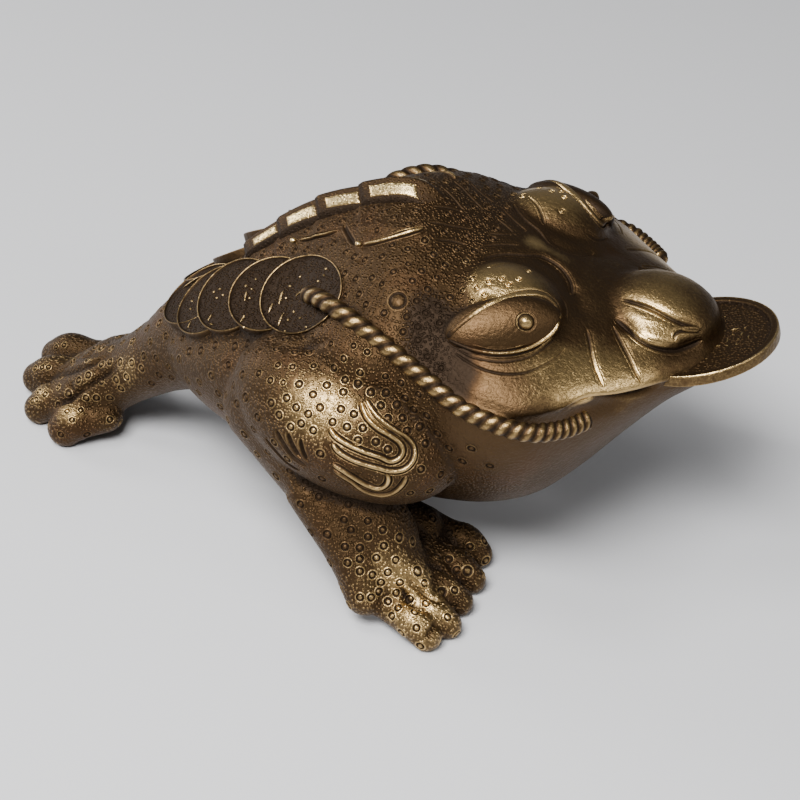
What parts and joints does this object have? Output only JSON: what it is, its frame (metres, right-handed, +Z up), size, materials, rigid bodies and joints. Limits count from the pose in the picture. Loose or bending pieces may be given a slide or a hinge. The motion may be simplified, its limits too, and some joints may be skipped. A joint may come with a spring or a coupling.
{
  "type": "money toad figure",
  "caption": "Cast bronze toad crouching on two front feet and one tail-like hind leg, a coin in its mouth and a rope of coins round its rump.",
  "frame": {"origin": "middle of the bounding box in plan, on the plane of the soles", "axes": "+X towards the mouth, +Y to the toad's left, +Z up"},
  "size_m": [0.185, 0.1104, 0.0829],
  "materials": {
    "bronze": "aged dark brown patina, satin, rubbed to gold on high spots"
  },
  "bodies": {
    "root": {"money_toad": "bronze"}
  },
  "joints": []
}
